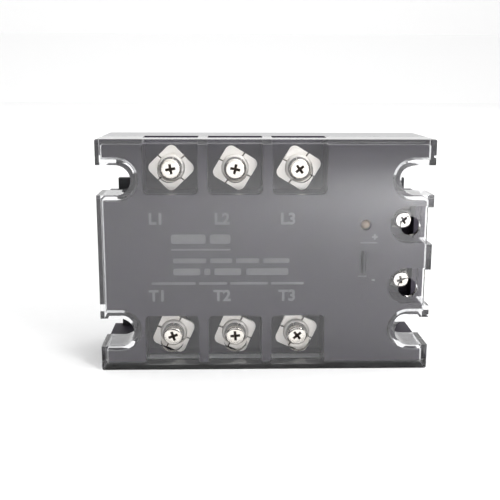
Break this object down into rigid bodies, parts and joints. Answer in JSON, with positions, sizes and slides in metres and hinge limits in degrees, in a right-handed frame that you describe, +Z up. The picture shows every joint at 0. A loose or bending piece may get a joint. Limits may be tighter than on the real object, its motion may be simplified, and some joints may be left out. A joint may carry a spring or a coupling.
{
  "type": "solid state relay",
  "caption": "Three-phase panel-mount solid state relay: black brick housing on a metal base plate, screw clamp terminals and a clear clip-on safety cover.",
  "frame": {"origin": "centre of the rear mounting face of the base plate", "axes": "+X along the relay towards the control terminals, +Y out of the rear mounting face, +Z up, so the front cover faces -Y"},
  "size_m": [0.105, 0.033, 0.074],
  "materials": {
    "aluminium_plate": "milled, satin",
    "black_plastic": "glossy moulded black",
    "clear_plastic": "clear, glossy",
    "potting_resin": "cast epoxy",
    "circuit_laminate": "green solder mask",
    "lamp_lens": "translucent amber",
    "black_component": "moulded epoxy",
    "ceramic": "bare alumina",
    "nickel_plate": "bright nickel plate",
    "silicon": "dark semiconductor die",
    "capacitor_case": "dipped film capacitor"
  },
  "bodies": {
    "relay": {"base_plate": "aluminium_plate", "housing": "black_plastic", "terminal_bar_L1": "nickel_plate", "terminal_bar_L2": "nickel_plate", "terminal_bar_L3": "nickel_plate", "terminal_bar_T1": "nickel_plate", "terminal_bar_T2": "nickel_plate", "terminal_bar_T3": "nickel_plate", "control_terminal_plus": "nickel_plate", "control_terminal_minus": "nickel_plate", "indicator_lamp": "lamp_lens", "potting_compound": "potting_resin", "circuit_board": "circuit_laminate", "thyristor_chip_L1": "silicon", "thyristor_chip_L2": "silicon", "thyristor_chip_L3": "silicon", "thyristor_chip_T1": "silicon", "thyristor_chip_T2": "silicon", "thyristor_chip_T3": "silicon", "gate_lead_L1": "nickel_plate", "gate_lead_L2": "nickel_plate", "gate_lead_L3": "nickel_plate", "gate_lead_T1": "nickel_plate", "gate_lead_T2": "nickel_plate", "gate_lead_T3": "nickel_plate", "ceramic_tile_1": "ceramic", "ceramic_tile_2": "ceramic", "ceramic_tile_3": "ceramic", "optocoupler_1": "black_component", "optocoupler_2": "black_component", "optocoupler_3": "black_component", "snubber_capacitor_1": "capacitor_case", "snubber_capacitor_2": "capacitor_case", "snubber_capacitor_3": "capacitor_case", "input_driver_chip": "black_component", "input_resistor": "ceramic", "reverse_polarity_diode": "black_component"},
    "cover": {"clear_cover": "clear_plastic"},
    "washer_L1": {"spring_washer_L1": "nickel_plate"},
    "clamp_L1": {"clamp_plate_L1": "nickel_plate"},
    "screw_L1": {"terminal_screw_L1": "nickel_plate"},
    "washer_L2": {"spring_washer_L2": "nickel_plate"},
    "clamp_L2": {"clamp_plate_L2": "nickel_plate"},
    "screw_L2": {"terminal_screw_L2": "nickel_plate"},
    "washer_L3": {"spring_washer_L3": "nickel_plate"},
    "clamp_L3": {"clamp_plate_L3": "nickel_plate"},
    "screw_L3": {"terminal_screw_L3": "nickel_plate"},
    "washer_T1": {"spring_washer_T1": "nickel_plate"},
    "clamp_T1": {"clamp_plate_T1": "nickel_plate"},
    "screw_T1": {"terminal_screw_T1": "nickel_plate"},
    "washer_T2": {"spring_washer_T2": "nickel_plate"},
    "clamp_T2": {"clamp_plate_T2": "nickel_plate"},
    "screw_T2": {"terminal_screw_T2": "nickel_plate"},
    "washer_T3": {"spring_washer_T3": "nickel_plate"},
    "clamp_T3": {"clamp_plate_T3": "nickel_plate"},
    "screw_T3": {"terminal_screw_T3": "nickel_plate"},
    "small_clamp_plus": {"control_clamp_plus": "nickel_plate"},
    "small_screw_plus": {"control_screw_plus": "nickel_plate"},
    "small_clamp_minus": {"control_clamp_minus": "nickel_plate"},
    "small_screw_minus": {"control_screw_minus": "nickel_plate"}
  },
  "joints": [
    {"name": "cover_pull_off", "type": "slide", "parent": "relay", "child": "cover", "axis": [0, -1, 0], "range_m": [0, 0.03]},
    {"name": "clamp_lift_L1", "type": "slide", "parent": "relay", "child": "washer_L1", "axis": [0, -1, 0], "range_m": [-0.00088, 0.0021]},
    {"name": "clamp_swivel_L1", "type": "hinge", "parent": "washer_L1", "child": "clamp_L1", "pos_m": [-0.0299, -0.0282, 0.0273], "axis": [0, -1, 0], "continuous": true},
    {"name": "screw_turn_L1", "type": "hinge", "parent": "washer_L1", "child": "screw_L1", "pos_m": [-0.0299, -0.0282, 0.0273], "axis": [0, -1, 0], "range_deg": [-455, 1085]},
    {"name": "clamp_lift_L2", "type": "slide", "parent": "relay", "child": "washer_L2", "axis": [0, -1, 0], "range_m": [-0.00088, 0.0021]},
    {"name": "clamp_swivel_L2", "type": "hinge", "parent": "washer_L2", "child": "clamp_L2", "pos_m": [-0.0096, -0.0282, 0.0273], "axis": [0, -1, 0], "continuous": true},
    {"name": "screw_turn_L2", "type": "hinge", "parent": "washer_L2", "child": "screw_L2", "pos_m": [-0.0096, -0.0282, 0.0273], "axis": [0, -1, 0], "range_deg": [-455, 1085]},
    {"name": "clamp_lift_L3", "type": "slide", "parent": "relay", "child": "washer_L3", "axis": [0, -1, 0], "range_m": [-0.00088, 0.0021]},
    {"name": "clamp_swivel_L3", "type": "hinge", "parent": "washer_L3", "child": "clamp_L3", "pos_m": [0.0107, -0.0282, 0.0273], "axis": [0, -1, 0], "continuous": true},
    {"name": "screw_turn_L3", "type": "hinge", "parent": "washer_L3", "child": "screw_L3", "pos_m": [0.0107, -0.0282, 0.0273], "axis": [0, -1, 0], "range_deg": [-455, 1085]},
    {"name": "clamp_lift_T1", "type": "slide", "parent": "relay", "child": "washer_T1", "axis": [0, -1, 0], "range_m": [-0.00088, 0.0021]},
    {"name": "clamp_swivel_T1", "type": "hinge", "parent": "washer_T1", "child": "clamp_T1", "pos_m": [-0.0299, -0.0282, -0.0273], "axis": [0, -1, 0], "continuous": true},
    {"name": "screw_turn_T1", "type": "hinge", "parent": "washer_T1", "child": "screw_T1", "pos_m": [-0.0299, -0.0282, -0.0273], "axis": [0, -1, 0], "range_deg": [-455, 1085]},
    {"name": "clamp_lift_T2", "type": "slide", "parent": "relay", "child": "washer_T2", "axis": [0, -1, 0], "range_m": [-0.00088, 0.0021]},
    {"name": "clamp_swivel_T2", "type": "hinge", "parent": "washer_T2", "child": "clamp_T2", "pos_m": [-0.0096, -0.0282, -0.0273], "axis": [0, -1, 0], "continuous": true},
    {"name": "screw_turn_T2", "type": "hinge", "parent": "washer_T2", "child": "screw_T2", "pos_m": [-0.0096, -0.0282, -0.0273], "axis": [0, -1, 0], "range_deg": [-455, 1085]},
    {"name": "clamp_lift_T3", "type": "slide", "parent": "relay", "child": "washer_T3", "axis": [0, -1, 0], "range_m": [-0.00088, 0.0021]},
    {"name": "clamp_swivel_T3", "type": "hinge", "parent": "washer_T3", "child": "clamp_T3", "pos_m": [0.0107, -0.0282, -0.0273], "axis": [0, -1, 0], "continuous": true},
    {"name": "screw_turn_T3", "type": "hinge", "parent": "washer_T3", "child": "screw_T3", "pos_m": [0.0107, -0.0282, -0.0273], "axis": [0, -1, 0], "range_deg": [-455, 1085]},
    {"name": "control_lift_plus", "type": "slide", "parent": "relay", "child": "small_clamp_plus", "axis": [0, -1, 0], "range_m": [-0.00075, 0.002]},
    {"name": "control_turn_plus", "type": "hinge", "parent": "small_clamp_plus", "child": "small_screw_plus", "pos_m": [0.0454, -0.0222, 0.01], "axis": [0, -1, 0], "range_deg": [-545, 1445]},
    {"name": "control_lift_minus", "type": "slide", "parent": "relay", "child": "small_clamp_minus", "axis": [0, -1, 0], "range_m": [-0.00075, 0.002]},
    {"name": "control_turn_minus", "type": "hinge", "parent": "small_clamp_minus", "child": "small_screw_minus", "pos_m": [0.0454, -0.0222, -0.01], "axis": [0, -1, 0], "range_deg": [-545, 1445]}
  ],
  "couplings": [
    {"joint": "screw_turn_L1", "follows": "clamp_lift_L1", "rad_per_m": 8976},
    {"joint": "screw_turn_L2", "follows": "clamp_lift_L2", "rad_per_m": 8976},
    {"joint": "screw_turn_L3", "follows": "clamp_lift_L3", "rad_per_m": 8976},
    {"joint": "screw_turn_T1", "follows": "clamp_lift_T1", "rad_per_m": 8976},
    {"joint": "screw_turn_T2", "follows": "clamp_lift_T2", "rad_per_m": 8976},
    {"joint": "screw_turn_T3", "follows": "clamp_lift_T3", "rad_per_m": 8976},
    {"joint": "control_turn_plus", "follows": "control_lift_plus", "rad_per_m": 12566},
    {"joint": "control_turn_minus", "follows": "control_lift_minus", "rad_per_m": 12566}
  ]
}
